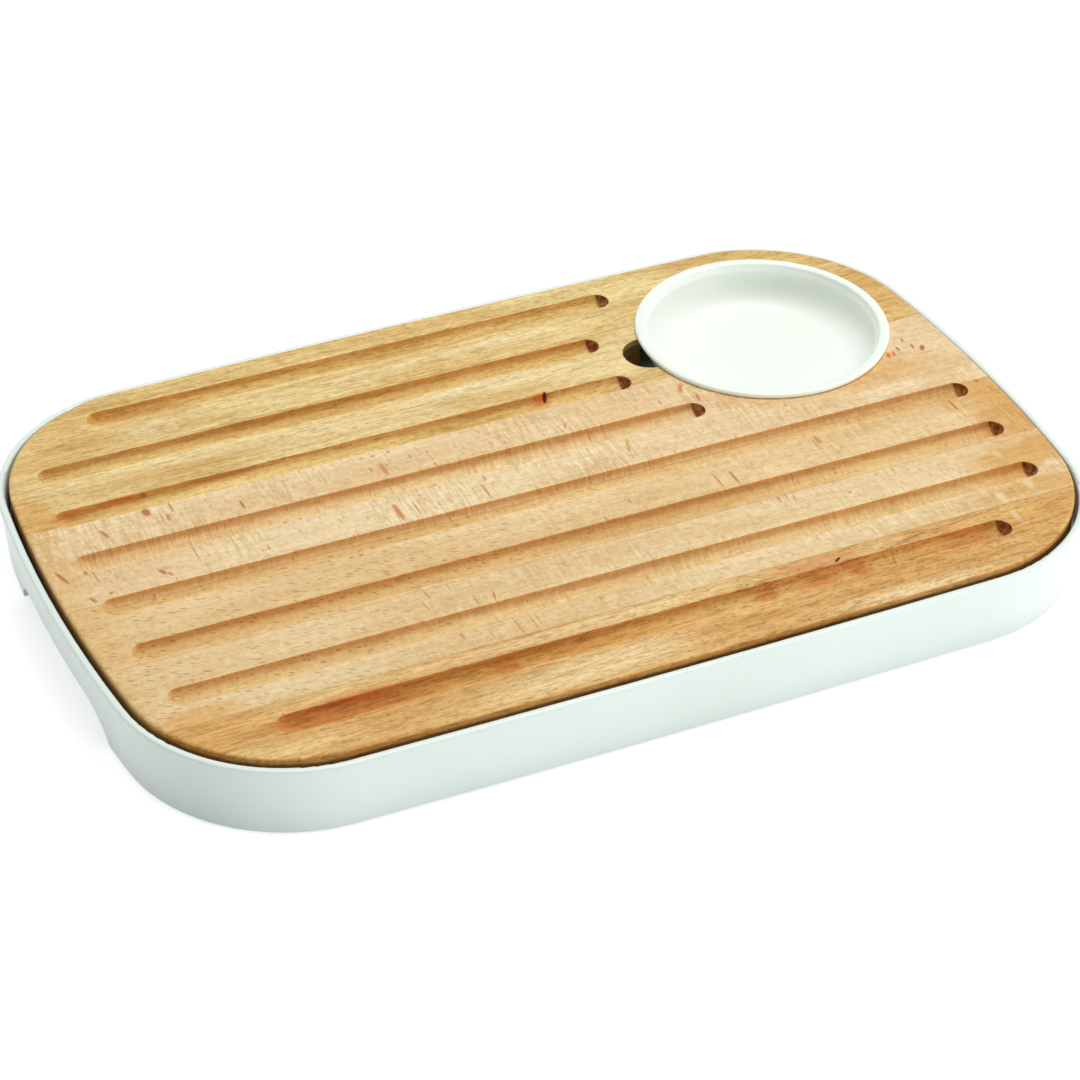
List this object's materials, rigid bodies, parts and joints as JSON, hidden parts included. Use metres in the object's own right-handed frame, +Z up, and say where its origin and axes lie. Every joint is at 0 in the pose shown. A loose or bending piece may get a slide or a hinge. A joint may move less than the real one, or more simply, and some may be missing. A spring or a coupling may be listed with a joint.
{
  "type": "bread board with crumb tray and dip bowl",
  "caption": "Rounded wooden bread board with long crumb grooves, lying in a white tray with hand holds. A round dip bowl hangs in the board beside a finger notch.",
  "frame": {"origin": "on the table, under the middle of the board and tray", "axes": "+Z up, +X along the grooves towards the end with the bowl, -Y to the front"},
  "size_m": [0.3892, 0.2512, 0.0341],
  "materials": {
    "board_wood": "oiled beech, satin",
    "tray_plastic": "white moulded plastic, satin",
    "bowl_white": "white melamine, soft gloss",
    "foot_rubber": "matt grey"
  },
  "bodies": {
    "tray": {"tray": "tray_plastic", "rubber_foot_1": "foot_rubber", "rubber_foot_2": "foot_rubber", "rubber_foot_3": "foot_rubber", "rubber_foot_4": "foot_rubber"},
    "board": {"stave_1": "board_wood", "stave_2_left": "board_wood", "stave_2_right": "board_wood", "stave_3": "board_wood", "stave_4": "board_wood", "stave_5": "board_wood", "stave_6": "board_wood"},
    "bowl": {"dip_bowl": "bowl_white"}
  },
  "joints": [
    {"name": "board_lift", "type": "slide", "parent": "tray", "child": "board", "axis": [0, 0, 1], "range_m": [0, 0.045]},
    {"name": "bowl_lift", "type": "slide", "parent": "board", "child": "bowl", "axis": [0, 0, 1], "range_m": [0, 0.04]}
  ]
}
